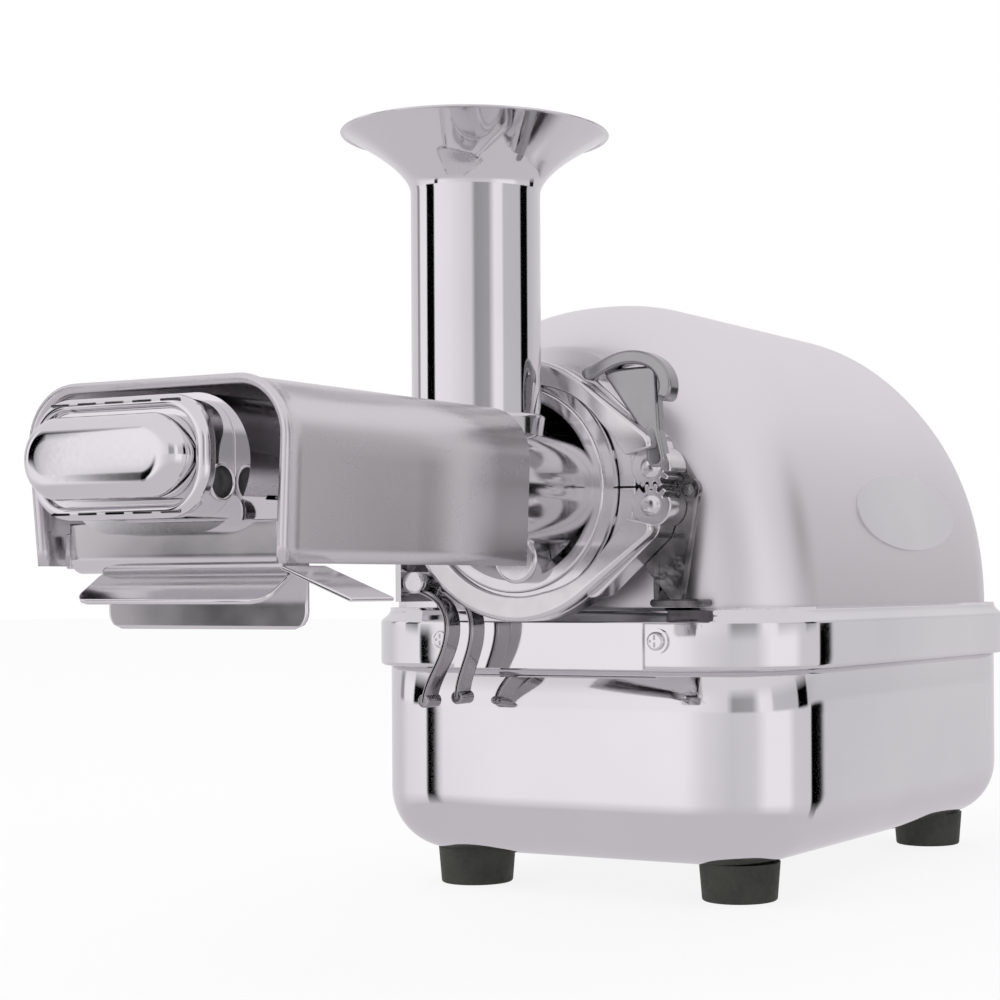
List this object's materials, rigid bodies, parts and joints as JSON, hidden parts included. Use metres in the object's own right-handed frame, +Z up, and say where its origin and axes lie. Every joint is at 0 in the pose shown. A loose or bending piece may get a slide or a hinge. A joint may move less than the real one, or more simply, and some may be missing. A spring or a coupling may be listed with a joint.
{
  "type": "cold press juicer",
  "caption": "Horizontal all-steel cold press juicer with a domed motor body, a hinged clamp, a flared feed tube, a covered strainer and a pulp outlet.",
  "frame": {"origin": "centre of the footprint, on the surface that the feet stand on", "axes": "+Z up, the barrel and pulp outlet point to -Y, the hinge of the clamp is on the +X side"},
  "size_m": [0.19, 0.5056, 0.2773],
  "materials": {
    "polished_steel": "mirror-polished stainless steel",
    "satin_steel": "softly polished stainless steel",
    "gear_steel": "machined steel",
    "inner_steel": "zinc-plated pressed steel",
    "cast_aluminium": "cast and machined",
    "bronze_bush": "sintered bronze",
    "copper_winding": "enamelled copper wire",
    "motor_iron": "laminated iron",
    "foot_rubber": "matt moulded rubber",
    "black_plastic": "fine spark-eroded texture",
    "circuit_board": "lacquered circuit board",
    "plated_pin": "nickel-plated"
  },
  "bodies": {
    "base": {"base_tub": "polished_steel", "trim_band": "polished_steel", "front_bar": "polished_steel", "band_screws": "polished_steel", "dome_cover": "satin_steel", "badge_plate": "polished_steel", "foot_front_left": "foot_rubber", "foot_front_right": "foot_rubber", "foot_rear_left": "foot_rubber", "foot_rear_right": "foot_rubber", "foot_screws": "gear_steel", "motor_stator": "motor_iron", "front_winding": "copper_winding", "rear_winding": "copper_winding", "front_shield": "cast_aluminium", "rear_shield": "cast_aluminium", "motor_bearings": "gear_steel", "gearbox_case": "cast_aluminium", "gearbox_lid": "cast_aluminium", "gearbox_bushes": "bronze_bush", "base_plate": "inner_steel", "motor_cradle": "inner_steel", "gearbox_stand": "inner_steel", "power_inlet": "black_plastic", "inlet_pins": "plated_pin", "switch_case": "black_plastic", "run_capacitor": "cast_aluminium", "speed_board": "circuit_board", "juice_housing": "polished_steel", "feed_hopper": "polished_steel", "strainer_screen": "polished_steel", "juice_cover": "polished_steel", "pulp_housing": "polished_steel", "cap_spring": "gear_steel", "pulp_chute": "polished_steel", "hinge_bracket": "polished_steel", "hinge_pins": "polished_steel", "catch_bracket": "polished_steel"},
    "left_auger_drive": {"output_shaft_left": "gear_steel", "output_wheel": "gear_steel", "auger_left": "polished_steel"},
    "right_auger_drive": {"output_shaft_right": "gear_steel", "auger_right": "polished_steel"},
    "middle_gears": {"middle_pinion_shaft": "gear_steel", "middle_wheel": "gear_steel"},
    "motor_spindle": {"motor_shaft": "gear_steel", "motor_rotor": "motor_iron", "cooling_fan": "black_plastic"},
    "upper_clamp": {"clamp_upper": "polished_steel"},
    "lower_clamp": {"clamp_lower": "polished_steel", "latch_pin": "polished_steel"},
    "front_latch": {"latch_lever_front": "polished_steel"},
    "rear_latch": {"latch_lever_rear": "polished_steel"},
    "pulp_valve": {"pulp_cap": "polished_steel", "cap_stem": "gear_steel"},
    "power_rocker": {"switch_rocker": "black_plastic"}
  },
  "joints": [
    {"name": "motor_spin", "type": "hinge", "parent": "base", "child": "motor_spindle", "pos_m": [0, 0.11775, 0.1], "axis": [0, 1, 0], "continuous": true},
    {"name": "middle_spin", "type": "hinge", "parent": "base", "child": "middle_gears", "pos_m": [0.0332, 0.03375, 0.1322], "axis": [0, 1, 0], "continuous": true},
    {"name": "left_auger_spin", "type": "hinge", "parent": "base", "child": "left_auger_drive", "pos_m": [-0.015, -0.01625, 0.153], "axis": [0, 1, 0], "continuous": true},
    {"name": "right_auger_spin", "type": "hinge", "parent": "base", "child": "right_auger_drive", "pos_m": [0.015, -0.01625, 0.153], "axis": [0, 1, 0], "continuous": true},
    {"name": "upper_clamp_hinge", "type": "hinge", "parent": "base", "child": "upper_clamp", "pos_m": [0.054, -0.02825, 0.1596], "axis": [0, 1, 0], "range_deg": [0, 40]},
    {"name": "lower_clamp_hinge", "type": "hinge", "parent": "base", "child": "lower_clamp", "pos_m": [0.054, -0.02825, 0.1464], "axis": [0, -1, 0], "range_deg": [0, 40]},
    {"name": "front_latch_hinge", "type": "hinge", "parent": "lower_clamp", "child": "front_latch", "pos_m": [-0.04, -0.03925, 0.1196], "axis": [0, 1, 0], "range_deg": [0, 35]},
    {"name": "rear_latch_hinge", "type": "hinge", "parent": "lower_clamp", "child": "rear_latch", "pos_m": [-0.04, -0.02625, 0.1196], "axis": [0, 1, 0], "range_deg": [0, 35]},
    {"name": "pulp_cap_slide", "type": "slide", "parent": "base", "child": "pulp_valve", "axis": [0, -1, 0], "range_m": [0, 0.004], "stiffness_N_per_m": 600, "springref_m": -0.003, "deforming": ["cap_spring"]},
    {"name": "power_rocker_tilt", "type": "hinge", "parent": "base", "child": "power_rocker", "pos_m": [0.04, 0.24475, 0.052], "axis": [1, 0, 0], "range_deg": [0, 10]}
  ],
  "couplings": [
    {"joint": "middle_spin", "follows": "motor_spin", "ratio": -0.23333},
    {"joint": "left_auger_spin", "follows": "motor_spin", "ratio": 0.058333},
    {"joint": "right_auger_spin", "follows": "motor_spin", "ratio": -0.058333},
    {"joint": "lower_clamp_hinge", "follows": "upper_clamp_hinge", "ratio": 1}
  ]
}
